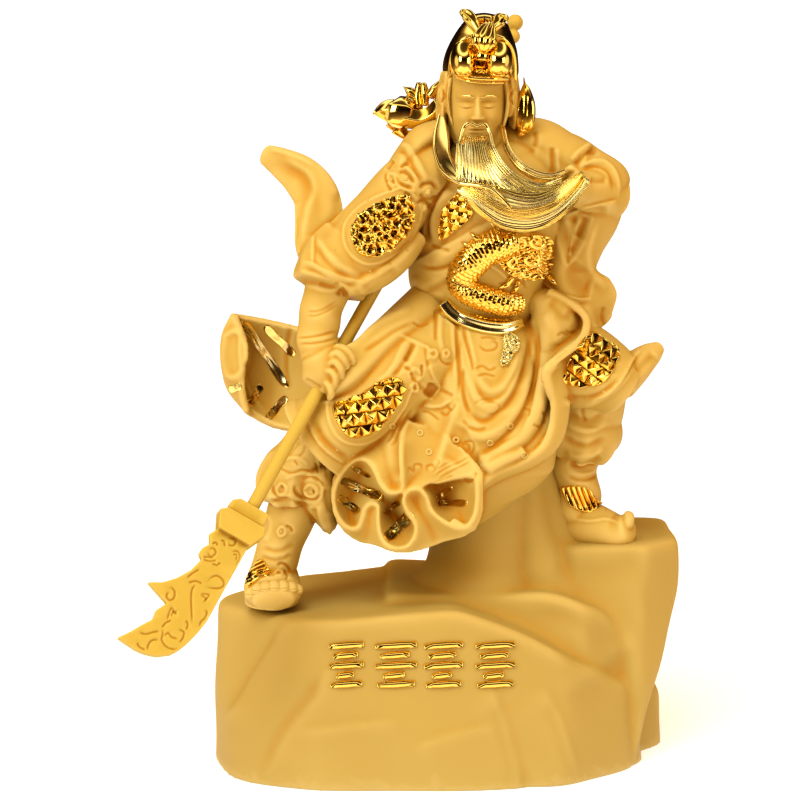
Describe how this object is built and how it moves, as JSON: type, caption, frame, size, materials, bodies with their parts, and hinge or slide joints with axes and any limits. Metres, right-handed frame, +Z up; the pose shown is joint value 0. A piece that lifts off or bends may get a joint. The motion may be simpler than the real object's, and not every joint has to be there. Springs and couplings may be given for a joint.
{
  "type": "guan yu statue",
  "caption": "Cast warrior figure in a windswept robe, stroking a long beard and holding a long-bladed halberd point down, striding over its own rock base.",
  "frame": {"origin": "middle of the rock base's flat underside", "axes": "+Z up, the figure faces -Y, its own right arm and the halberd's blade are towards -X"},
  "size_m": [0.2726, 0.194, 0.3769],
  "materials": {
    "sand_gold": "matte sand-gold paint on cast resin",
    "halberd_gold": "satin yellow-gold paint on moulded resin",
    "bright_gold": "mirror-bright gold plating on the raised ornament"
  },
  "bodies": {
    "root": {"statue": "sand_gold", "halberd": "halberd_gold"}
  },
  "joints": []
}
